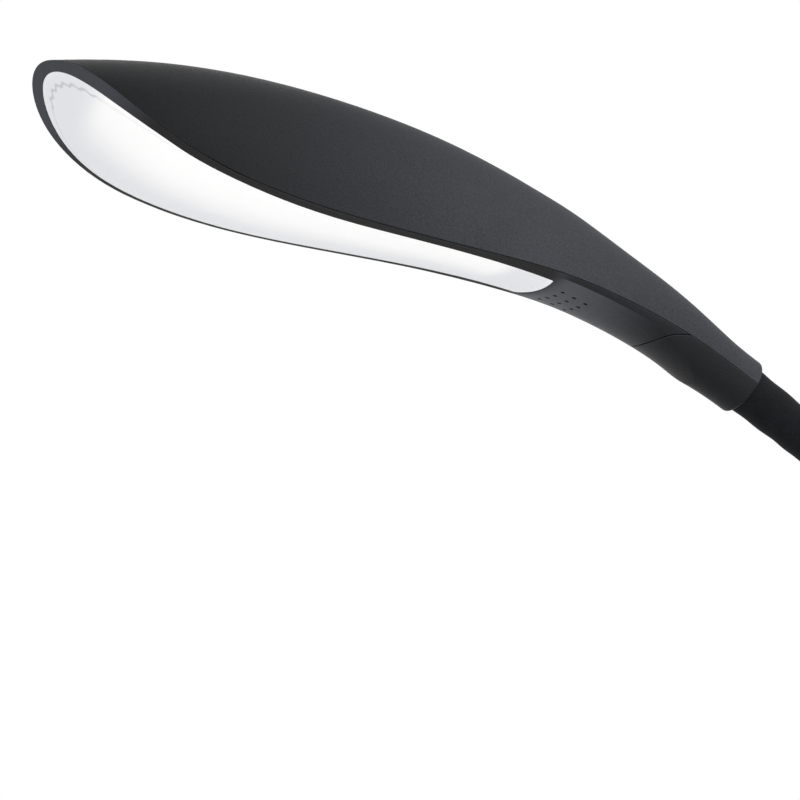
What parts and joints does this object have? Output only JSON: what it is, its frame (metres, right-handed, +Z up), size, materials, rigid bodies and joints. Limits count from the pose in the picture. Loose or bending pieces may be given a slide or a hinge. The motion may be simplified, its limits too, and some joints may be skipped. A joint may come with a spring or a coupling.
{
  "type": "piano lamp",
  "caption": "Gooseneck piano lamp with an arched charcoal head, an opal diffuser set into its underside, and a weighted oval base with a push button",
  "frame": {"origin": "middle of the weighted base's underside, on the surface the lamp stands on", "axes": "+Z up, the head reaches out towards -X, the lamp is the same on both sides of the XZ plane"},
  "size_m": [0.4309, 0.14, 0.4198],
  "materials": {
    "shell": "matte charcoal with a fine moulded grain",
    "socket": "satin charcoal paint",
    "button": "matte black",
    "opal": "satin opal white",
    "guide": "clear to milky acrylic",
    "tray": "matte white",
    "rubber": "matte black",
    "sleeve": "matte black silicone",
    "iron": "plain",
    "steel": "plain",
    "aluminium": "mill finish",
    "board": "white solder mask",
    "chip": "phosphor yellow",
    "component": "black",
    "lead": "black PVC"
  },
  "bodies": {
    "base": {"base_cover": "shell", "base_bottom": "shell", "rubber_pad": "rubber", "neck_socket": "socket", "dc_inlet": "component", "switch_body": "component", "switch_board": "board", "driver_board": "board", "driver_parts": "component", "board_spacers": "steel", "base_lead": "lead", "weight_plate": "iron", "socket_screws": "steel", "base_screws": "steel", "neck_sleeve_0": "sleeve", "neck_core_0": "steel", "neck_lead_0": "lead"},
    "button": {"power_button": "button"},
    "neck_1": {"neck_sleeve_1": "sleeve", "neck_core_1": "steel", "neck_lead_1": "lead"},
    "neck_2": {"neck_sleeve_2": "sleeve", "neck_core_2": "steel", "neck_lead_2": "lead"},
    "neck_3": {"neck_sleeve_3": "sleeve", "neck_core_3": "steel", "neck_lead_3": "lead"},
    "neck_4": {"neck_sleeve_4": "sleeve", "neck_core_4": "steel", "neck_lead_4": "lead"},
    "neck_5": {"neck_sleeve_5": "sleeve", "neck_core_5": "steel", "neck_lead_5": "lead"},
    "neck_6": {"neck_sleeve_6": "sleeve", "neck_core_6": "steel", "neck_lead_6": "lead"},
    "neck_7": {"neck_sleeve_7": "sleeve", "neck_core_7": "steel", "neck_lead_7": "lead"},
    "head": {"head_top_shell": "shell", "head_lower_frame": "shell", "neck_clamp_cover": "shell", "diffuser": "opal", "light_guide": "guide", "reflector_tray": "tray", "led_board": "board", "leds": "chip", "heat_spreader": "aluminium", "board_screws": "steel", "lead_connector": "tray", "head_lead": "lead", "neck_ferrule": "aluminium", "ferrule_screws": "steel", "status_board": "board", "status_screws": "steel", "status_light_pipe": "guide", "neck_sleeve_8": "sleeve", "neck_core_8": "steel", "neck_lead_8": "lead"}
  },
  "joints": [
    {"name": "neck_bend_0_side", "type": "hinge", "parent": "base", "child": "neck_1", "pos_m": [0.056, 0, 0.041], "axis": [1, 0, 0], "range_deg": [-18, 18]},
    {"name": "neck_bend_1_pitch", "type": "hinge", "parent": "neck_1", "child": "neck_2", "pos_m": [0.05238, 0, 0.09097], "axis": [0, -1, 0], "range_deg": [-20, 10]},
    {"name": "neck_bend_2_side", "type": "hinge", "parent": "neck_2", "child": "neck_3", "pos_m": [0.0416, 0, 0.13989], "axis": [0.9585, 0, 0.2852], "range_deg": [-18, 18]},
    {"name": "neck_bend_3_pitch", "type": "hinge", "parent": "neck_3", "child": "neck_4", "pos_m": [0.02388, 0, 0.18675], "axis": [0, -1, 0], "range_deg": [-20, 10]},
    {"name": "neck_bend_4_side", "type": "hinge", "parent": "neck_4", "child": "neck_5", "pos_m": [-0.00041, 0, 0.23057], "axis": [0.8373, 0, 0.5467], "range_deg": [-18, 18]},
    {"name": "neck_bend_5_pitch", "type": "hinge", "parent": "neck_5", "child": "neck_6", "pos_m": [-0.03076, 0, 0.27043], "axis": [0, -1, 0], "range_deg": [-20, 10]},
    {"name": "neck_bend_6_side", "type": "hinge", "parent": "neck_6", "child": "neck_7", "pos_m": [-0.06654, 0, 0.3055], "axis": [0.6466, 0, 0.7628], "range_deg": [-18, 18]},
    {"name": "neck_bend_7_pitch", "type": "hinge", "parent": "neck_7", "child": "head", "pos_m": [-0.107, 0, 0.33505], "axis": [0, -1, 0], "range_deg": [-20, 10]},
    {"name": "button_press", "type": "slide", "parent": "base", "child": "button", "axis": [0, 0, -1], "range_m": [0, 0.0008], "stiffness_N_per_m": 800, "springref_m": -0.0015}
  ]
}
